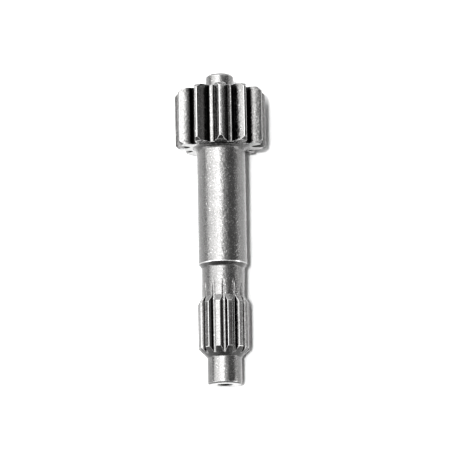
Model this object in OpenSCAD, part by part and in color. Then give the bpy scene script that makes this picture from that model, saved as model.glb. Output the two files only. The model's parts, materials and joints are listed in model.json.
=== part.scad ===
// Pinion shaft, one steel piece: thrust pin, spur pinion, plain shank, neck, involute spline, pilot stub.
// The shaft is drawn upright on the end of its stub, then laid down as it comes to rest on a flat floor.
// All sizes are in millimetres.

/* [Pilot stub] */
// Diameter of the plain stub at the splined end
stub_diameter = 16.5; // [14:0.1:18.5]
// Length of the stub, up to the lead cone of the spline
stub_length = 13.1; // [6:0.1:30]
// Chamfer on the free end of the stub
stub_chamfer = 0.6; // [0.2:0.1:1.5]
// Fillet between the stub and the lead cone
stub_fillet = 1; // [0.2:0.1:2]

/* [Centre hole] */
// Diameter of the 60 degree centre at its mouth
centre_diameter = 7.7; // [5:0.1:10]
// Diameter of the drilled pilot below the centre
centre_drill = 3.6; // [2:0.1:4.5]
// Length of the straight drilled pilot
centre_drill_length = 3; // [1:0.1:6]

/* [Spline] */
// Number of spline teeth
spline_teeth = 13; // [11:1:15]
// Module of the spline
spline_module = 1.667; // [1.5:0.001:1.8]
// Pressure angle of the spline
spline_pressure = 20; // [18:0.5:25]
// Outward profile shift of the spline
spline_shift = 1.167; // [0.9:0.01:1.3]
// Height of the spline teeth above the shifted pitch circle
spline_addendum = 0.35; // [0.2:0.01:0.6]
// Depth of the spline slots below the shifted pitch circle
spline_dedendum = 2.35; // [1.9:0.01:2.5]
// Fillet at the foot of each spline slot
spline_root_fillet = 0.4; // [0.1:0.05:0.6]
// Length of the lead cone between stub and spline
lead_length = 4.1; // [2.5:0.1:7]
// Length of the spline at its full diameter
spline_length = 21.7; // [12:0.1:40]
// Length of the chamfer between spline and neck
spline_chamfer_length = 3.2; // [1.5:0.1:5]
// Distance that the slots keep their full depth past that chamfer
slot_overrun = 1; // [0.2:0.1:3]
// Diameter of the cutter that leaves the run-out of each slot
slot_cutter_diameter = 64; // [40:1:80]

/* [Shank and neck] */
// Diameter of the neck above the spline
neck_diameter = 20.5; // [19.8:0.1:21.5]
// Length of the neck
neck_length = 14.2; // [12:0.1:25]
// Fillet between the neck and the shoulder
neck_fillet = 1.4; // [0.2:0.1:2]
// Length of the shoulder cone between neck and shank
shoulder_length = 1.8; // [1:0.1:5]
// Diameter of the plain shank
shank_diameter = 23.3; // [22:0.1:24.5]
// Length of the shank, up to the end of the pinion
shank_length = 57.2; // [30:0.1:90]
// Fillet between the shank and the end of the pinion
shank_fillet = 2.6; // [0.5:0.1:2.8]

/* [Pinion] */
// Number of pinion teeth
pinion_teeth = 11; // [10:1:13]
// Module of the pinion
pinion_module = 3.25; // [3.1:0.01:3.6]
// Pressure angle of the pinion
pinion_pressure = 20; // [18:0.5:22.5]
// Outward profile shift of the pinion
pinion_shift = 0.6; // [0.4:0.01:1]
// Height of the pinion teeth above the shifted pitch circle
pinion_addendum = 3.52; // [3:0.01:3.7]
// Depth of the tooth gaps below the shifted pitch circle
pinion_dedendum = 3.49; // [3.1:0.01:3.7]
// Fillet at the foot of each pinion tooth
pinion_root_fillet = 1.75; // [0.4:0.05:1.8]
// Width of the pinion
pinion_width = 28; // [15:0.1:45]
// Chamfer on the tips of the teeth at both ends
pinion_chamfer = 1.8; // [0.5:0.1:2.5]

/* [Thrust pin] */
// Diameter of the pin that stands out of the pinion
pin_diameter = 13.4; // [8:0.1:18]
// Length of the pin
pin_length = 7.8; // [4:0.1:20]
// Chamfer on the free end of the pin
pin_chamfer = 1; // [0.2:0.1:1.5]
// Fillet between the pin and the end of the pinion
pin_fillet = 0.5; // [0.2:0.1:1.5]

/* [Hidden] */
$fn = 96;

stub_r = stub_diameter / 2;
neck_r = neck_diameter / 2;
shank_r = shank_diameter / 2;
pin_r = pin_diameter / 2;
cutter_r = slot_cutter_diameter / 2;

spline_pitch_r = spline_module * spline_teeth / 2;
spline_tip_r = spline_pitch_r + spline_shift + spline_addendum;
spline_root_r = spline_pitch_r + spline_shift - spline_dedendum;
pinion_pitch_r = pinion_module * pinion_teeth / 2;
pinion_tip_r = pinion_pitch_r + pinion_shift + pinion_addendum;
pinion_root_r = pinion_pitch_r + pinion_shift - pinion_dedendum;

// Cutters reach this far outside the tips
clearance = 1;
// Most of an edge, or of a tooth gap, that a fillet may take up
fillet_share = 0.95;

// Stations along the shaft, from the free end of the stub
spline_start = stub_length + lead_length;
spline_end = spline_start + spline_length;
neck_start = spline_end + spline_chamfer_length;
neck_end = neck_start + neck_length;
shank_start = neck_end + shoulder_length;
pinion_start = shank_start + shank_length;
pinion_end = pinion_start + pinion_width;
shaft_length = pinion_end + pin_length;
slot_end = neck_start + slot_overrun;

// The shaft lies on two pinion teeth and one spline tooth
pinion_foot_r = pinion_tip_r * cos(180 / pinion_teeth - half_tooth(pinion_tip_r, pinion_teeth,
    pinion_pitch_r, pinion_pressure, pinion_shift));
pinion_foot = pinion_start + pinion_chamfer;
rest_tilt = atan((pinion_foot_r - spline_tip_r) / (pinion_foot - spline_start));
rest_height = spline_tip_r * cos(rest_tilt) - spline_start * sin(rest_tilt);
rest_back = shaft_length * cos(rest_tilt) + (pin_r - pin_chamfer) * sin(rest_tilt);
rest_front = (stub_r - stub_chamfer) * sin(rest_tilt);

// Point at a radius and an angle
function polar(r, a) = [r * cos(a), r * sin(a)];

// Vector of length one
function unit(v) = v / norm(v);

// The same points on the other side of the X axis, in reverse order
function mirrored(points) = [for (i = [len(points) - 1 : -1 : 0]) [points[i].x, -points[i].y]];

// Involute function, in degrees
function involute(a) = tan(a) * 180 / PI - a;

// Half of the angle that a tooth takes up at radius r
function half_tooth(r, teeth, pitch_r, pressure, shift) =
    90 / teeth + shift * tan(pressure) / pitch_r * 180 / PI
    + involute(pressure) - involute(acos(min(1, pitch_r * cos(pressure) / r)));

// Outline of one tooth gap around the X axis: foot fillets, involute flanks up to radius reach_r, and a point
// further out that keeps the outline clear of the tips
function gap_outline(teeth, pitch_r, pressure, shift, root_r, reach_r, fillet, steps) =
    let (flank_r = max(root_r, pitch_r * cos(pressure)))
    let (open = 180 / teeth - half_tooth(flank_r, teeth, pitch_r, pressure, shift))
    let (f = min(fillet, fillet_share * root_r * sin(open) / (1 - sin(open))))
    let (turn = asin(f / (root_r + f)))
    let (centre = polar(root_r + f, open - turn))
    let (low_r = max(flank_r, (root_r + f) * cos(turn)))
    let (foot = [for (i = [0 : steps]) centre + polar(f, 180 + open - turn - i * (90 - turn) / steps)])
    let (flank = [for (i = [0 : steps])
        let (r = low_r + (reach_r - low_r) * i / steps)
        polar(r, 180 / teeth - half_tooth(r, teeth, pitch_r, pressure, shift))])
    let (side = concat(foot, flank))
    concat(side, [[reach_r + clearance, 0]], mirrored(side));

// Points of the arc that rounds corner p between its neighbours a and b, kept inside both edges
function fillet_arc(a, p, b, radius, steps) =
    let (u = unit(a - p))
    let (v = unit(b - p))
    let (half = acos(u * v) / 2)
    let (r = min(radius / tan(half), fillet_share * min(norm(a - p), norm(b - p))) * tan(half))
    let (inward = unit(u + v))
    let (sense = sign(u.x * v.y - u.y * v.x))
    let (start = atan2(-inward.y, -inward.x))
    [for (i = [-steps : steps]) p + inward * r / sin(half)
        + polar(r, start - sense * (90 - half) * i / steps)];

spline_gap = gap_outline(spline_teeth, spline_pitch_r, spline_pressure, spline_shift, spline_root_r,
    spline_tip_r + clearance, spline_root_fillet, 4);
pinion_gap = gap_outline(pinion_teeth, pinion_pitch_r, pinion_pressure, pinion_shift, pinion_root_r,
    pinion_tip_r + clearance, pinion_root_fillet, 6);

// Everything that the lathe leaves, as one revolved outline
module turned_blank() {
    stub_corner = fillet_arc([stub_r, stub_chamfer], [stub_r, stub_length], [spline_tip_r, spline_start],
        stub_fillet, 3);
    neck_corner = fillet_arc([neck_r, neck_start], [neck_r, neck_end], [shank_r, shank_start],
        neck_fillet, 3);
    shank_corner = fillet_arc([shank_r, shank_start], [shank_r, pinion_start],
        [pinion_root_r, pinion_start], shank_fillet, 6);
    pin_corner = fillet_arc([pinion_root_r, pinion_end], [pin_r, pinion_end],
        [pin_r, shaft_length - pin_chamfer], pin_fillet, 3);
    rotate_extrude()
        polygon(concat(
            [[0, 0], [stub_r - stub_chamfer, 0], [stub_r, stub_chamfer]],
            stub_corner,
            [[spline_tip_r, spline_start], [spline_tip_r, spline_end], [neck_r, neck_start]],
            neck_corner,
            [[shank_r, shank_start]],
            shank_corner,
            [
                [pinion_tip_r - pinion_chamfer, pinion_start],
                [pinion_tip_r, pinion_start + pinion_chamfer],
                [pinion_tip_r, pinion_end - pinion_chamfer],
                [pinion_tip_r - pinion_chamfer, pinion_end]
            ],
            pin_corner,
            [[pin_r, shaft_length - pin_chamfer], [pin_r - pin_chamfer, shaft_length], [0, shaft_length]]
        ));
}

// Gaps between the pinion teeth, with one gap facing +Y
module pinion_gaps() {
    for (i = [0 : pinion_teeth - 1])
        rotate([0, 0, 90 + i * 360 / pinion_teeth])
            translate([0, 0, pinion_start - clearance])
                linear_extrude(pinion_width + 2 * clearance)
                    polygon(pinion_gap);
}

// Slots between the spline teeth, with one tooth facing +Y and each slot running out into the neck
module spline_slots() {
    axis_r = spline_root_r + cutter_r;
    lift = acos(1 - (spline_tip_r + clearance - spline_root_r) / cutter_r);
    for (i = [0 : spline_teeth - 1])
        rotate([0, 0, 90 + (i + 0.5) * 360 / spline_teeth]) {
            translate([0, 0, stub_length])
                linear_extrude(slot_end - stub_length)
                    polygon(spline_gap);
            translate([axis_r, 0, slot_end])
                rotate([90, 0, 180])
                    rotate_extrude(angle = lift)
                        polygon([for (p = spline_gap) [axis_r - p.x, p.y]]);
        }
}

// Lathe centre in the free end of the stub
module centre_hole() {
    mouth_r = centre_diameter / 2;
    drill_r = centre_drill / 2;
    cone_depth = (mouth_r - drill_r) / tan(30);
    drill_depth = cone_depth + centre_drill_length;
    rotate_extrude()
        polygon([
            [0, -clearance],
            [mouth_r + clearance * tan(30), -clearance],
            [drill_r, cone_depth],
            [drill_r, drill_depth],
            [0, drill_depth + drill_r / tan(59)]
        ]);
}

// Turns the upright shaft onto its side: +Z becomes the long axis near +Y, and +Y faces the floor
module lay_down() {
    translate([0, (rest_front - rest_back) / 2, rest_height])
        rotate([rest_tilt - 90, 0, 0])
            children();
}

module pinion_shaft() {
    color([0.45, 0.45, 0.44])
        lay_down()
            difference() {
                turned_blank();
                pinion_gaps();
                spline_slots();
                centre_hole();
            }
}

pinion_shaft();
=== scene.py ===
# Looks of the pinion shaft: one steel skin over the solid, a pale floor, studio light and the camera.
import json
import math

import bpy
import numpy as np
from mathutils import Matrix, Vector

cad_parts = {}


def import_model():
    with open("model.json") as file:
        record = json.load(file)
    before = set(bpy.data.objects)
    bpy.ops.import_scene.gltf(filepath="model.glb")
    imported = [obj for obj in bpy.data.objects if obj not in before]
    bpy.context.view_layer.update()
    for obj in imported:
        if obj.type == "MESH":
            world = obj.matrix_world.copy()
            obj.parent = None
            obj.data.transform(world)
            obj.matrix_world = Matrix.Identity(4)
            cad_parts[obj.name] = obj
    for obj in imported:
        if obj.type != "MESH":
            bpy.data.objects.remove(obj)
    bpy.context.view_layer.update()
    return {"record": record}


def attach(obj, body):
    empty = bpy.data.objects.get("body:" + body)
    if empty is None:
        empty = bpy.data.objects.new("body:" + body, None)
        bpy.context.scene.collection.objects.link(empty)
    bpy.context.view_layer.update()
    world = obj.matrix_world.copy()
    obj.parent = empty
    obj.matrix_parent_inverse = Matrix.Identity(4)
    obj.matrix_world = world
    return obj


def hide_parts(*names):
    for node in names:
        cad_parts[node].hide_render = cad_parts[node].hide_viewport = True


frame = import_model()

MM = 0.001
TINY = 1e-6

# Sizes of the solid, in millimetres and degrees, with stations counted from the free end of the stub
STUB_R, STUB_LENGTH, STUB_CHAMFER, STUB_FILLET = 8.25, 13.1, 0.6, 1.0
CENTRE_R, DRILL_R, DRILL_LENGTH = 3.85, 1.8, 3.0
CENTRE_ANGLE, DRILL_ANGLE = 60, 118
LEAD_LENGTH, SPLINE_LENGTH, SPLINE_CHAMFER_LENGTH = 4.1, 21.7, 3.2
SLOT_OVERRUN, CUTTER_R = 1.0, 32.0
NECK_R, NECK_LENGTH, NECK_FILLET, SHOULDER_LENGTH = 10.25, 14.2, 1.4, 1.8
SHANK_R, SHANK_LENGTH, SHANK_FILLET = 11.65, 57.2, 2.6
PINION_WIDTH, PINION_CHAMFER = 28.0, 1.8
PIN_R, PIN_LENGTH, PIN_CHAMFER, PIN_FILLET = 6.7, 7.8, 1.0, 0.5

CENTRE_CONE = (CENTRE_R - DRILL_R) / math.tan(math.radians(CENTRE_ANGLE / 2))
CENTRE_DEPTH = CENTRE_CONE + DRILL_LENGTH + DRILL_R / math.tan(math.radians(DRILL_ANGLE / 2))
SPLINE_START = STUB_LENGTH + LEAD_LENGTH
SPLINE_END = SPLINE_START + SPLINE_LENGTH
NECK_START = SPLINE_END + SPLINE_CHAMFER_LENGTH
SLOT_END = NECK_START + SLOT_OVERRUN
NECK_END = NECK_START + NECK_LENGTH
SHANK_START = NECK_END + SHOULDER_LENGTH
PINION_START = SHANK_START + SHANK_LENGTH
PINION_END = PINION_START + PINION_WIDTH
SHAFT_LENGTH = PINION_END + PIN_LENGTH

# Broken edges that the solid leaves sharp
TURNED_EDGE = 1.0
TOOTH_EDGE = 0.28
TOOTH_END_EDGE = 0.2
SPLINE_EDGE = 0.25
SPLINE_CONE_EDGE = 0.4
CHAMFER_EDGE = 0.3
FACE_EDGE = 0.25
DRILL_EDGE = 0.2

# Stations on plain cylinders where two stretches of the skin meet
STUB_SEAM = STUB_LENGTH - 2
NECK_SEAM = SLOT_END + 7.5
SHANK_SEAM = PINION_START - 5
# Longest step between rings on each stretch, and how far full spline teeth keep from their cones
STUB_STEP, SHANK_STEP, PINION_STEP, PIN_STEP = 4, 12, 8, 3
CONE_STEP, TEETH_STEP, SLOT_STEP = 0.4, 7, 0.8
CONE_MARGIN = 0.5
# Steps on each side of the middle of a rounded corner
ARC_STEPS, COARSE_STEPS, FILLET_STEPS = 3, 2, 5
# First ring on the upper end face, inside the feet of the gaps, and last ring on the pin's end face
FOOT_CLEARANCE = 1
PIN_FACE_R = 2
# Rings over which the points turn back to even angles on the upper end face and the pin
PIN_TURN_RINGS = 4

# Points on the fine outline of a gap's foot, fillet and flank, which runs on past the tip
FOOT_POINTS, FILLET_POINTS, FLANK_POINTS = 6, 16, 40
PAST_TIP = 1
# Points on the broken edge at a pinion tooth's end
TOOTH_END_POINTS = 5
# A slot shallower than this leaves the cylinder plain
SHALLOWEST_SLOT = 0.004
# How far a rounding reaches from its corner: a share of the edge, and at most so much of what it joins
EDGE_REACH, FLANK_SHARE, LAND_SHARE, CORNER_SHARE = 0.8, 0.35, 0.45, 0.48

# Painted shade on cones and chamfers that face the stub's end, and in hollow corners
CONE_SHADE = 0.65
CORNER_SHADE = 0.6
# Painted shade across a gap's foot at distances from its middle, given as wear below zero
PLAIN_FOOT = ((0,), (0,))
SHADED_FOOT = ((0.6, 0.85, 2.0, 3.0), (0, -1.25, -1.25, 0))
# Wear on spline edges and on end faces, as shares of that on pinion edges
SPLINE_WEAR = 0.6
FACE_WEAR = 0.6
# Grain on spline, stub, end faces and worn edges, as a share of that elsewhere
FINE_GRAIN = 0.3
# Wear above which an edge counts as worn
WORN_EDGE = 0.5
# A normal with this much of the shaft's direction belongs to an end face
END_FACE = 0.97
# Width of the rim inside the mouth of the lathe centre that the painted shade filling the centre leaves
# bare
CENTRE_RIM = 0.3


def polar(r, a):
    return np.array([r * math.cos(a), r * math.sin(a)])


def involute(a):
    return math.tan(a) - a


class ToothForm:
    """Involute teeth around the shaft, with how many points half a pitch gets on its gap, edge and tip."""

    def __init__(self, teeth, module, pressure, shift, addendum, dedendum, fillet, counts, foot_shade):
        self.teeth = teeth
        self.half_pitch = math.pi / teeth
        self.pressure = math.radians(pressure)
        self.pitch_r = module * teeth / 2
        self.shift = shift
        self.base_r = self.pitch_r * math.cos(self.pressure)
        self.tip_r = self.pitch_r + shift + addendum
        self.root_r = self.pitch_r + shift - dedendum
        self.fillet = fillet
        self.counts = counts
        self.foot_shade = foot_shade

    def half_gap(self, r):
        """Half of the angle that the gap between two teeth takes up at radius r."""
        at_pitch = self.half_pitch / 2 + self.shift * math.tan(self.pressure) / self.pitch_r
        at_r = at_pitch + involute(self.pressure) - involute(math.acos(min(1, self.base_r / r)))
        return self.half_pitch - at_r

    def gap_side(self):
        """Fine outline of half a gap from the middle of its foot outwards, with x along its middle."""
        opening = self.half_gap(self.base_r)
        turn = math.asin(self.fillet / (self.root_r + self.fillet))
        start = opening - turn
        foot = [polar(self.root_r, start * t) for t in np.linspace(0, 1, FOOT_POINTS)]
        centre = polar(self.root_r + self.fillet, start)
        arc = [centre + polar(self.fillet, math.pi + start - t * (math.pi / 2 - turn))
               for t in np.linspace(0, 1, FILLET_POINTS)]
        flank = [polar(r, self.half_gap(r))
                 for r in np.linspace(self.base_r, self.tip_r + PAST_TIP, FLANK_POINTS)]
        return np.array(foot + arc[1:] + flank)


SPLINE = ToothForm(teeth=13, module=1.667, pressure=20, shift=1.167, addendum=0.35, dedendum=2.35,
                   fillet=0.4, counts=(13, 3, 6), foot_shade=PLAIN_FOOT)
# The pinion's gaps get painted shade on their lower flanks
PINION = ToothForm(teeth=11, module=3.25, pressure=20, shift=0.6, addendum=3.52, dedendum=3.49,
                   fillet=1.75, counts=(18, 4, 4), foot_shade=SHADED_FOOT)
RING = 2 * SPLINE.teeth * sum(SPLINE.counts)
assert RING == 2 * PINION.teeth * sum(PINION.counts)
EVEN = 2 * math.pi * np.arange(RING) / RING

# Outline of turned surfaces


def rounded(corners, steps=ARC_STEPS):
    """Points (station, radius, wear and shade) along (station, radius, rounding) corners, with an arc at
    each
    rounded corner: worn where it stands out, and with values below zero, for painted shade, where it lies
    in."""
    points = []
    for i, (s, r, rounding) in enumerate(corners):
        p = np.array([s, r], float)
        if not rounding:
            points.append(np.append(p, 0))
            continue
        u = np.array(corners[i - 1][:2]) - p
        v = np.array(corners[i + 1][:2]) - p
        lengths = np.linalg.norm(u), np.linalg.norm(v)
        u, v = u / lengths[0], v / lengths[1]
        half = math.acos(np.clip(u @ v, -1, 1)) / 2
        reach = min(rounding / math.tan(half), CORNER_SHARE * min(lengths))
        radius = reach * math.tan(half)
        inward = (u + v) / np.linalg.norm(u + v)
        middle = p + inward * radius / math.sin(half)
        sense = np.sign(u[0] * v[1] - u[1] * v[0])
        start = math.atan2(-inward[1], -inward[0])
        swing = math.pi / 2 - half
        for k in range(-steps, steps + 1):
            # Hollow corners get wear below zero, which marks painted shade
            wear_and_shade = sense if abs(k) < steps else 0
            points.append(np.append(middle + polar(radius, start - sense * swing * k / steps), wear_and_shade))
    return points


def divided(points, step):
    """The same outline with further points, so that none lie further apart than step at their station."""
    out = [points[0]]
    for a, b in zip(points, points[1:]):
        n = max(1, math.ceil(np.linalg.norm((b - a)[:2]) / step((a[0] + b[0]) / 2) - TINY))
        out += [a + (b - a) * k / n for k in range(1, n + 1)]
    return out


# Toothed rings


def spaced(points, start, end, n, bend_weight):
    """n + 1 points between two lengths along a fine outline, closer together where it bends."""
    steps = np.diff(points, axis=0)
    lengths = np.linalg.norm(steps, axis=1)
    so_far = np.concatenate([[0], np.cumsum(lengths)])
    headings = np.unwrap(np.arctan2(steps[:, 1], steps[:, 0]))
    bend = np.concatenate([[0], np.abs(np.diff(headings)), [0]])
    weight = so_far + bend_weight * (np.cumsum(bend) - bend / 2)
    at = np.interp(np.linspace(*np.interp([start, end], so_far, weight), n + 1), weight, so_far)
    return np.stack([np.interp(at, so_far, points[:, k]) for k in range(2)], axis=1)


def toothed_half(form, gap_side, blank_r, edge, edge_wear, tip_wear):
    """Half a pitch as x, y and wear, with painted shade below zero at the gap's foot, from the middle of a
    gap to the middle of a tooth whose tip is turned to blank_r, or None where the gap is too shallow."""
    n_gap, n_edge, n_tip = form.counts
    radii = np.hypot(gap_side[:, 0], gap_side[:, 1])
    if radii[0] > blank_r - SHALLOWEST_SLOT:
        return None
    cut = int(np.argmax(radii > blank_r))
    t = (blank_r - radii[cut - 1]) / (radii[cut] - radii[cut - 1])
    corner = gap_side[cut - 1] + t * (gap_side[cut] - gap_side[cut - 1])
    flank = np.vstack([gap_side[:cut], corner])
    length = np.linalg.norm(np.diff(flank, axis=0), axis=1).sum()
    angle = math.atan2(corner[1], corner[0])
    land = blank_r * (form.half_pitch - angle)
    reach = min(EDGE_REACH * edge, FLANK_SHARE * length, LAND_SHARE * land)
    gap = spaced(flank, 0, length - reach, n_gap, 2 * form.fillet)
    tip = [polar(blank_r, a) for a in np.linspace(angle + reach / blank_r, form.half_pitch, n_tip + 1)]
    bezier = [(1 - k) ** 2 * gap[-1] + 2 * k * (1 - k) * corner + k * k * tip[0]
              for k in np.linspace(0, 1, n_edge + 1)[1:-1]]
    wear_and_shade = np.repeat([edge_wear, tip_wear], [len(bezier), len(tip)])
    # Painted shade at the gap's foot, as wear below zero
    wear_and_shade = np.append(np.interp(gap[:, 1], *form.foot_shade), wear_and_shade)
    return np.column_stack([np.vstack([gap, bezier, tip]), wear_and_shade])


def full_ring(form, half, first_tooth):
    """A whole ring from half a pitch, starting at a tooth or at a gap, as angles, radii and wear, with
    painted shade below zero.
    """
    angles = np.arctan2(half[:, 1], half[:, 0])
    radii = np.hypot(half[:, 0], half[:, 1])
    wear_and_shade = half[:, 2]
    if first_tooth:
        angles, radii, wear_and_shade = form.half_pitch - angles[::-1], radii[::-1], wear_and_shade[::-1]
    angles = np.concatenate([angles[:-1], 2 * form.half_pitch - angles[:0:-1]])
    radii, wear_and_shade = (np.concatenate([v[:-1], v[:0:-1]]) for v in (radii, wear_and_shade))
    pitches = 2 * form.half_pitch * np.arange(form.teeth)
    return np.add.outer(pitches, angles).ravel(), np.tile(radii, form.teeth), np.tile(wear_and_shade, form.teeth)


def lifted(form, gap_side, distance):
    """The outline of a slot at a distance past the end of its full depth, where the cutter lifts out."""
    axis_r = form.root_r + CUTTER_R
    reach = axis_r - gap_side[:, 0]
    return np.stack([axis_r - np.sqrt(reach**2 - distance**2), gap_side[:, 1]], axis=1)


def inset(angles, radii, amount):
    """A ring drawn in by an amount at right angles to its outline."""
    x, y = radii * np.cos(angles), radii * np.sin(angles)
    tx = np.roll(x, -1) - np.roll(x, 1)
    ty = np.roll(y, -1) - np.roll(y, 1)
    length = np.hypot(tx, ty)
    x, y = x - amount * ty / length, y + amount * tx / length
    turned = np.arctan2(y, x)
    return angles + (turned - angles + math.pi) % (2 * math.pi) - math.pi, np.hypot(x, y)


# Stretches of the shaft, from the stub's end to the pin's


def stub_end():
    """Lathe centre, end face and stub, from the bottom of the centre to the seam on the stub."""
    corners = [
        (CENTRE_CONE + DRILL_LENGTH, DRILL_R, 0),
        (CENTRE_CONE, DRILL_R, DRILL_EDGE),
        (0, CENTRE_R, FACE_EDGE),
        (0, STUB_R - STUB_CHAMFER, FACE_EDGE),
        (STUB_CHAMFER, STUB_R, CHAMFER_EDGE),
        (STUB_SEAM, STUB_R, 0),
    ]
    return divided(rounded(corners, COARSE_STEPS), lambda s: STUB_STEP)


def spline_step(s):
    if s > NECK_START:
        return SLOT_STEP
    return TEETH_STEP if SPLINE_START + CONE_MARGIN < s < SPLINE_END - CONE_MARGIN else CONE_STEP


def spline_rings():
    """Stations, angles, radii and wear, with painted shade below zero, from the seam on the stub to the
    plain neck.
    """
    corners = [
        (STUB_SEAM, STUB_R, 0),
        (STUB_LENGTH, STUB_R, STUB_FILLET),
        (SPLINE_START, SPLINE.tip_r, SPLINE_CONE_EDGE),
        (SPLINE_END, SPLINE.tip_r, SPLINE_CONE_EDGE),
        (NECK_START, NECK_R, SPLINE_CONE_EDGE),
        (NECK_SEAM, NECK_R, 0),
    ]
    outline = divided(rounded(corners), spline_step)
    gap_side = SPLINE.gap_side()
    rings = []
    for s, r, wear_and_shade in outline:
        past = max(0.0, s - SLOT_END)
        edge_wear = SPLINE_WEAR if s < NECK_START else 0
        half = toothed_half(SPLINE, lifted(SPLINE, gap_side, past), r, SPLINE_EDGE, edge_wear, wear_and_shade)
        rings.append(full_ring(SPLINE, half, False) if half is not None else None)
    shaped = [i for i, ring in enumerate(rings) if ring]
    before, after = rings[shaped[0]][0], rings[shaped[-1]][0]
    out = []
    for i, (s, r, wear_and_shade) in enumerate(outline):
        plain = (before if i < shaped[0] else after, r, wear_and_shade)
        out.append((s, *(rings[i] or plain)))
    return out


def shank():
    """Plain neck, shoulder and shank, up to the seam below the pinion."""
    corners = [
        (NECK_SEAM, NECK_R, 0),
        (NECK_END, NECK_R, NECK_FILLET),
        (SHANK_START, SHANK_R, TURNED_EDGE),
        (SHANK_SEAM, SHANK_R, 0),
    ]
    return divided(rounded(corners), lambda s: SHANK_STEP)


def shank_fillet():
    """The fillet between the shank and the pinion's lower end face."""
    corners = [
        (SHANK_SEAM, SHANK_R, 0),
        (PINION_START, SHANK_R, SHANK_FILLET),
        (PINION_START, PINION.tip_r, 0),
    ]
    return rounded(corners, FILLET_STEPS)[1:-1]


def pinion_rings():
    """Stations, angles, radii and wear, with painted shade below zero, of the toothed part between its two
    end faces.
    """
    face_r = PINION.tip_r - PINION_CHAMFER
    corners = [
        (PINION_START, face_r, 0),
        (PINION_START + PINION_CHAMFER, PINION.tip_r, CHAMFER_EDGE),
        (PINION_END - PINION_CHAMFER, PINION.tip_r, CHAMFER_EDGE),
        (PINION_END, face_r, 0),
    ]
    ends = [TOOTH_END_EDGE * (1 - math.cos(a)) for a in np.linspace(0, math.pi / 2, TOOTH_END_POINTS)]
    low = [np.array([PINION_START + d, face_r + d, 0]) for d in ends]
    high = [np.array([PINION_END - d, face_r + d, 0]) for d in reversed(ends)]
    gap_side = PINION.gap_side()
    out = []
    for s, r, wear_and_shade in divided(low + rounded(corners)[1:-1] + high, lambda s: PINION_STEP):
        half = toothed_half(PINION, gap_side, r, TOOTH_EDGE, edge_wear=1, tip_wear=wear_and_shade)
        angles, radii, wear_and_shade = full_ring(PINION, half, True)
        depth = min(s - PINION_START, PINION_END - s)
        if depth < TOOTH_END_EDGE - TINY:
            lean = 1 - depth / TOOTH_END_EDGE
            amount = TOOTH_END_EDGE * (1 - math.sqrt(max(0, 1 - lean**2)))
            angles, radii = inset(angles, radii, amount)
            wear_and_shade = np.full(RING, float(depth > TINY))
        out.append((s, angles, radii, wear_and_shade))
    return out


def pin_end():
    """The pinion's upper end face and the pin."""
    corners = [
        (PINION_END, PINION.root_r - FOOT_CLEARANCE, 0),
        (PINION_END, PIN_R, PIN_FILLET),
        (SHAFT_LENGTH - PIN_CHAMFER, PIN_R, CHAMFER_EDGE),
        (SHAFT_LENGTH, PIN_R - PIN_CHAMFER, FACE_EDGE),
        (SHAFT_LENGTH, PIN_FACE_R, 0),
    ]
    return divided(rounded(corners, COARSE_STEPS), lambda s: PIN_STEP)


class Skin:
    """Rings along the shaft, each with its station, angles, radii and wear, with painted shade below zero,
    joined into one surface.
    """

    def __init__(self):
        self.rings = []

    def add(self, station, angles, radii, wear_and_shade):
        self.rings.append([np.broadcast_to(v, RING) for v in (station, angles, radii, wear_and_shade)])

    def add_between(self, point, before, after, share):
        """A plain ring whose angles are a share of the way from some angles to others."""
        s, r, wear_and_shade = point
        self.add(s, before + share * (after - before), r, wear_and_shade)

    def faces(self):
        """Quads between the rings, and a fan to one further point at each end."""
        j = np.arange(RING)
        k = (j + 1) % RING
        end = (len(self.rings) - 1) * RING
        faces = []
        for a in range(0, end, RING):
            b = a + RING
            faces += np.stack([a + j, a + k, b + k, b + j], axis=1).tolist()
        first, last = end + RING, end + RING + 1
        faces += [[first, q, p] for p, q in zip(j.tolist(), k.tolist())]
        faces += [[last, end + p, end + q] for p, q in zip(j.tolist(), k.tolist())]
        return faces

    def mesh(self, origin, along, up, side):
        """The painted surface, closed at the bottom of the lathe centre and on the pin's end face."""
        stations, angles, radii, wear_and_shade = (np.concatenate([r[k] for r in self.rings]) for k in range(4))
        stations = np.append(stations, [CENTRE_DEPTH, SHAFT_LENGTH]) * MM
        radii = np.append(radii, [0, 0]) * MM
        angles, wear_and_shade = (np.append(v, [0, 0]) for v in (angles, wear_and_shade))
        points = (origin + np.outer(stations, along) + np.outer(radii * np.cos(angles), up)
                  + np.outer(radii * np.sin(angles), side))
        mesh = bpy.data.meshes.new("pinion_shaft_skin")
        mesh.from_pydata(points.tolist(), [], self.faces())
        mesh.polygons.foreach_set("use_smooth", [True] * len(mesh.polygons))
        mesh.update()
        around = np.cross(along, points - origin)
        around /= np.maximum(np.linalg.norm(around, axis=1), TINY)[:, None]
        paint(mesh, along, around, stations, radii, wear_and_shade)
        return mesh


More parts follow.
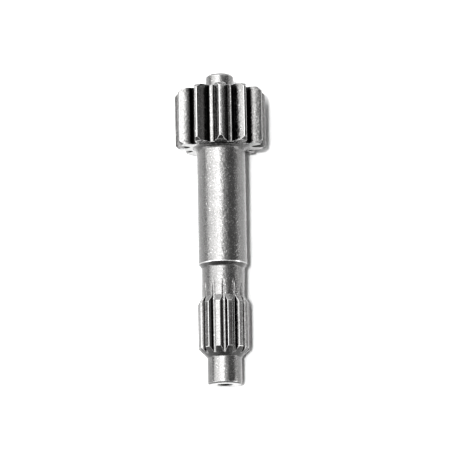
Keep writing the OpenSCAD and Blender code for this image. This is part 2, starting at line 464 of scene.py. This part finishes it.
def paint(mesh, along, around, stations, radii, wear_and_shade):
    """Painted shade, wear and grain at each point, mostly from the way that the surface faces there."""
    normals = np.empty(3 * len(stations))
    mesh.vertex_normals.foreach_get("vector", normals)
    normals = normals.reshape(-1, 3)
    turned = np.clip((normals * around).sum(axis=1), -1, 1)
    # Painted shade on flanks: darker the more the surface faces round the shaft
    flank_shade = 1 - np.sqrt(1 - turned**2)
    # The painted shade on cones that face the stub's end is darkest at 45 degrees to the shaft
    faced = np.clip(-normals @ along, 0, 1) ** 2
    cone_shade = CONE_SHADE * 4 * faced * (1 - faced)
    # Painted shade at each point: the darkest of that on flanks, on cones and in hollow corners
    painted_shade = np.maximum.reduce([flank_shade, cone_shade, -CORNER_SHADE * wear_and_shade])
    # Painted shade fills the lathe centre inside its rim
    painted_shade[(stations < STUB_LENGTH * MM) & (radii < (CENTRE_R - CENTRE_RIM) * MM)] = 1
    end_face = np.abs(normals @ along) > END_FACE
    wear_and_shade[end_face] = np.maximum(wear_and_shade[end_face], FACE_WEAR)
    fine = end_face | (wear_and_shade > WORN_EDGE) | (stations < SPLINE_END * MM)
    grain = np.where(fine, FINE_GRAIN, 1.0)
    # Attributes: painted shade, wear with painted shade below zero, and grain
    for name, values in (("painted_shade", painted_shade), ("wear_and_shade", wear_and_shade), ("grain", grain)):
        mesh.attributes.new(name, "FLOAT", "POINT").data.foreach_set("value", values)


def shaft_skin(origin, along, up, side):
    """The whole skin. On plain stretches the angles change over from one toothed stretch to the next."""
    skin = Skin()
    splined, toothed = spline_rings(), pinion_rings()
    spline_first, spline_last = splined[0][1], splined[-1][1]
    face_angles = 0.5 * (toothed[0][1] + EVEN)
    fillet_start = PINION_START - SHANK_FILLET

    for point in stub_end()[:-1]:
        skin.add_between(point, EVEN, spline_first, max(0.0, point[0] / STUB_LENGTH) ** 2)
    for ring in splined:
        skin.add(*ring)
    for point in shank()[1:]:
        share = (point[0] - NECK_SEAM) / (fillet_start - NECK_SEAM)
        skin.add_between(point, spline_last, face_angles, share)
    for s, r, wear_and_shade in shank_fillet():
        skin.add(s, face_angles, r, wear_and_shade)
    for ring in toothed:
        skin.add(*ring)
    for i, point in enumerate(pin_end()):
        skin.add_between(point, face_angles, EVEN, min(1, i / PIN_TURN_RINGS))
    return skin.mesh(origin, along, up, side)


# Place of the shaft's axis in the frame, from the record's mounts
mounts = {m["name"]: m for m in frame["record"]["mounts"]}
along = np.array(mounts["thrust_face"]["axis"])
side = np.array([1.0, 0.0, 0.0])
up = np.cross(side, along)
origin = np.array(mounts["thrust_face"]["pos_m"]) - SHAFT_LENGTH * MM * along


def axis_point(station):
    return Vector(origin + station * MM * along)


# Steel: brightness of bare metal, specks, glints, painted shade and wear, range of roughness, depths in
# metres
BARE_DARK, BARE_LIGHT, WARMTH = 0.125, 0.155, 0.01
SPECK, GLINT, DARKEST_SHADE, WORN = 0.75, 0.12, 0.03, 0.22
SMOOTH, ROUGH = 0.14, 0.28
PIT_DEPTH, GRAIN_DEPTH = 0.00009, 0.00017
# Scale, detail and roughness of each noise
BLOTCHES, PITS, GRAIN = (90, 4, 0.6), (420, 2, 0.5), (900, 3, 0.6)
GLINTS, SPECKS = (1300, 0, 0.5), (1500, 2, 0.5)
# Values of each noise and painted attribute between which its effect comes in
BLOTCH_RANGE, SPECK_RANGE, GLINT_RANGE = (0.3, 0.7), (0.35, 0.6), (0.72, 0.8)
SHADE_RANGE, WEAR_RANGE, GRAIN_RANGE = (0.45, 0.75), (0.0, 1.0), (0.35, 0.65)
# Colour sockets of a mix node
MIX_BELOW, MIX_ABOVE, MIX_RESULT = 6, 7, 2


def grey(v):
    return v, v, v, 1


def steel_grey(v):
    return v * (1 + WARMTH), v, v * (1 - WARMTH), 1


def steel():
    """Blasted alloy steel: fine grain, uneven darkening, small glints, painted shade on tooth flanks,
    gap feet, cones, hollow corners and in the lathe centre, and edges that are worn bright."""
    material = bpy.data.materials.new("steel")
    material.use_nodes = True
    nodes, links = material.node_tree.nodes, material.node_tree.links
    shader = nodes["Principled BSDF"]
    shader.inputs["Metallic"].default_value = 1.0
    place = nodes.new("ShaderNodeTexCoord")

    def painted(name):
        node = nodes.new("ShaderNodeAttribute")
        node.attribute_name = name
        return node.outputs["Fac"]

    def mix(kind, below, above):
        node = nodes.new("ShaderNodeMix")
        node.data_type, node.blend_type = "RGBA", kind
        node.inputs["Factor"].default_value = 1.0
        links.new(below, node.inputs[MIX_BELOW])
        links.new(above, node.inputs[MIX_ABOVE])
        return node.outputs[MIX_RESULT]

    def noise(scale, detail, roughness):
        node = nodes.new("ShaderNodeTexNoise")
        node.inputs["Scale"].default_value = scale
        node.inputs["Detail"].default_value = detail
        node.inputs["Roughness"].default_value = roughness
        links.new(place.outputs["Object"], node.inputs["Vector"])
        return node.outputs["Fac"]

    def ramp(value, positions, *colours):
        node = nodes.new("ShaderNodeValToRGB")
        for element, position, colour in zip(node.color_ramp.elements, positions, colours):
            element.position, element.color = position, colour
        links.new(value, node.inputs["Fac"])
        return node.outputs["Color"]

    def bump(height, strength, distance, below=None):
        node = nodes.new("ShaderNodeBump")
        links.new(strength, node.inputs["Strength"])
        node.inputs["Distance"].default_value = distance
        links.new(height, node.inputs["Height"])
        if below:
            links.new(below, node.inputs["Normal"])
        return node.outputs["Normal"]

    grain = noise(*GRAIN)
    blotched = ramp(noise(*BLOTCHES), BLOTCH_RANGE, steel_grey(BARE_DARK), steel_grey(BARE_LIGHT))
    bare = mix("MULTIPLY", blotched, ramp(noise(*SPECKS), SPECK_RANGE, grey(SPECK), grey(1)))
    glinting = mix("ADD", bare, ramp(noise(*GLINTS), GLINT_RANGE, grey(0), grey(GLINT)))
    # Painted shade darkens the colour on flanks, gap feet, cones, hollow corners and in the lathe centre
    shaded = mix("MULTIPLY", glinting, ramp(painted("painted_shade"), SHADE_RANGE, grey(1), grey(DARKEST_SHADE)))
    worn = mix("ADD", shaded, ramp(painted("wear_and_shade"), WEAR_RANGE, grey(0), grey(WORN)))
    links.new(worn, shader.inputs["Base Color"])
    links.new(ramp(grain, GRAIN_RANGE, grey(SMOOTH), grey(ROUGH)), shader.inputs["Roughness"])
    pitted = bump(noise(*PITS), painted("grain"), PIT_DEPTH)
    links.new(bump(grain, painted("grain"), GRAIN_DEPTH, pitted), shader.inputs["Normal"])
    return material


skin = bpy.data.objects.new("pinion_shaft_skin", shaft_skin(origin, along, up, side))
bpy.context.scene.collection.objects.link(skin)
skin.data.materials.append(steel())
weighted = skin.modifiers.new("weighted_normals", "WEIGHTED_NORMAL")
weighted.keep_sharp = False
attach(skin, "root")
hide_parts("pinion_shaft")

# Camera, which looks down on the shaft from the side of its stub
IMAGE_SIZE = 450
PIXEL = 0.48 * MM
SENSOR_WIDTH = 36
CAMERA_DISTANCE = 3300 * PIXEL
LOOK_STATION = 77.5
LOOK_ASIDE = 2.85 * PIXEL
VIEW_FROM_SQUARE = math.radians(11.1)
VIEW_ROUND = math.radians(-0.6)
ROLL = math.radians(1.06)

view_turned = up * math.cos(VIEW_ROUND) + side * math.sin(VIEW_ROUND)
view_back = Vector(view_turned * math.cos(VIEW_FROM_SQUARE) - along * math.sin(VIEW_FROM_SQUARE))
view_axis = (Vector(along) - view_back * view_back.dot(Vector(along))).normalized()
view_right = view_axis.cross(view_back)


def camera():
    data = bpy.data.cameras.new("camera")
    data.sensor_width = SENSOR_WIDTH
    data.lens = data.sensor_width * CAMERA_DISTANCE / (IMAGE_SIZE * PIXEL)
    obj = bpy.data.objects.new("camera", data)
    bpy.context.scene.collection.objects.link(obj)
    image_up = view_axis * math.cos(ROLL) + view_right * math.sin(ROLL)
    image_right = image_up.cross(view_back)
    target = axis_point(LOOK_STATION) + image_right * LOOK_ASIDE
    turn = Matrix((image_right, image_up, view_back)).transposed()
    obj.matrix_world = Matrix.Translation(target + view_back * CAMERA_DISTANCE) @ turn.to_4x4()
    bpy.context.scene.camera = obj


# Floor and light
FLOOR_SIZE = 12.0
FLOOR_WHITE = 0.86
FLOOR_ROUGHNESS = 0.9
PANEL_DISTANCE = 1.2
# Edges along the shaft, in degrees, of the panels above it and of the pair in front of its stub
ABOVE = (-14, 40)
IN_FRONT = (-70, -40)


def floor():
    mesh = bpy.data.meshes.new("floor")
    h = FLOOR_SIZE / 2
    mesh.from_pydata([(-h, -h, 0), (h, -h, 0), (h, h, 0), (-h, h, 0)], [], [(0, 1, 2, 3)])
    obj = bpy.data.objects.new("floor", mesh)
    bpy.context.scene.collection.objects.link(obj)
    material = bpy.data.materials.new("floor_white")
    material.use_nodes = True
    shader = material.node_tree.nodes["Principled BSDF"]
    shader.inputs["Base Color"].default_value = grey(FLOOR_WHITE)
    shader.inputs["Roughness"].default_value = FLOOR_ROUGHNESS
    mesh.materials.append(material)


def softbox(name, across, lengthwise, radiance):
    """A soft panel that lights the steel, given by its edges in degrees across and along the shaft."""
    lean, tilt = (math.radians(sum(edges) / 2) for edges in (across, lengthwise))
    data = bpy.data.lights.new(name, "AREA")
    data.shape = "RECTANGLE"
    data.size, data.size_y = (2 * PANEL_DISTANCE * math.tan(math.radians(high - low) / 2)
                              for low, high in (across, lengthwise))
    data.energy = radiance * math.pi * data.size * data.size_y
    obj = bpy.data.objects.new(name, data)
    bpy.context.scene.collection.objects.link(obj)
    obj.visible_diffuse = False
    tilted = Vector(up * math.cos(tilt) + along * math.sin(tilt))
    out = tilted * math.cos(lean) + Vector(side) * math.sin(lean)
    x = Vector(along).cross(out).normalized()
    turn = Matrix((x, out.cross(x), out)).transposed()
    place = axis_point(SHAFT_LENGTH / 2) + out * PANEL_DISTANCE
    obj.matrix_world = Matrix.Translation(place) @ turn.to_4x4()


def floor_light(name, irradiance, lean, tilt, angle):
    """A distant light for the floor, given in degrees from the camera's own direction."""
    lean, tilt = math.radians(lean), math.radians(tilt)
    data = bpy.data.lights.new(name, "SUN")
    data.energy = irradiance
    data.angle = math.radians(angle)
    obj = bpy.data.objects.new(name, data)
    bpy.context.scene.collection.objects.link(obj)
    obj.visible_glossy = False
    source = view_back + view_right * math.tan(lean) + view_axis * math.tan(tilt)
    obj.rotation_euler = source.to_track_quat("Z", "Y").to_euler()


def world(radiance):
    """Even light from all round, for the floor only."""
    w = bpy.data.worlds.new("studio")
    w.use_nodes = True
    background = w.node_tree.nodes["Background"]
    background.inputs["Color"].default_value = grey(1)
    background.inputs["Strength"].default_value = radiance
    w.cycles_visibility.glossy = False
    bpy.context.scene.world = w


floor()
softbox("low", across=(-96, -62), lengthwise=ABOVE, radiance=0.7)
softbox("side", across=(-74, 0), lengthwise=ABOVE, radiance=3.7)
softbox("middle", across=(-60, -3), lengthwise=ABOVE, radiance=1.7)
softbox("key", across=(-38, -6), lengthwise=ABOVE, radiance=1.9)
softbox("fade", across=(-20, 13), lengthwise=ABOVE, radiance=1.4)
softbox("tail", across=(-20, 24), lengthwise=ABOVE, radiance=0.8)
softbox("fill", across=(10, 72), lengthwise=ABOVE, radiance=0.35)
softbox("card", across=(74, 95), lengthwise=(-20, 40), radiance=1.4)
softbox("back", across=(-60, 45), lengthwise=(45, 90), radiance=3.0)
softbox("front", across=(-50, 60), lengthwise=(-40, -15), radiance=2.5)
softbox("front_left", across=(-84, -50), lengthwise=IN_FRONT, radiance=6.0)
softbox("front_right", across=(60, 84), lengthwise=IN_FRONT, radiance=6.0)
softbox("front_low", across=(-70, 70), lengthwise=(-88, -44), radiance=0.5)
floor_light("floor_edge", irradiance=2.6, lean=-6.2, tilt=4, angle=4)
floor_light("floor_wide", irradiance=4.1, lean=-20, tilt=4, angle=34)
world(0.2)
camera()
bpy.context.scene.view_settings.view_transform = "Standard"
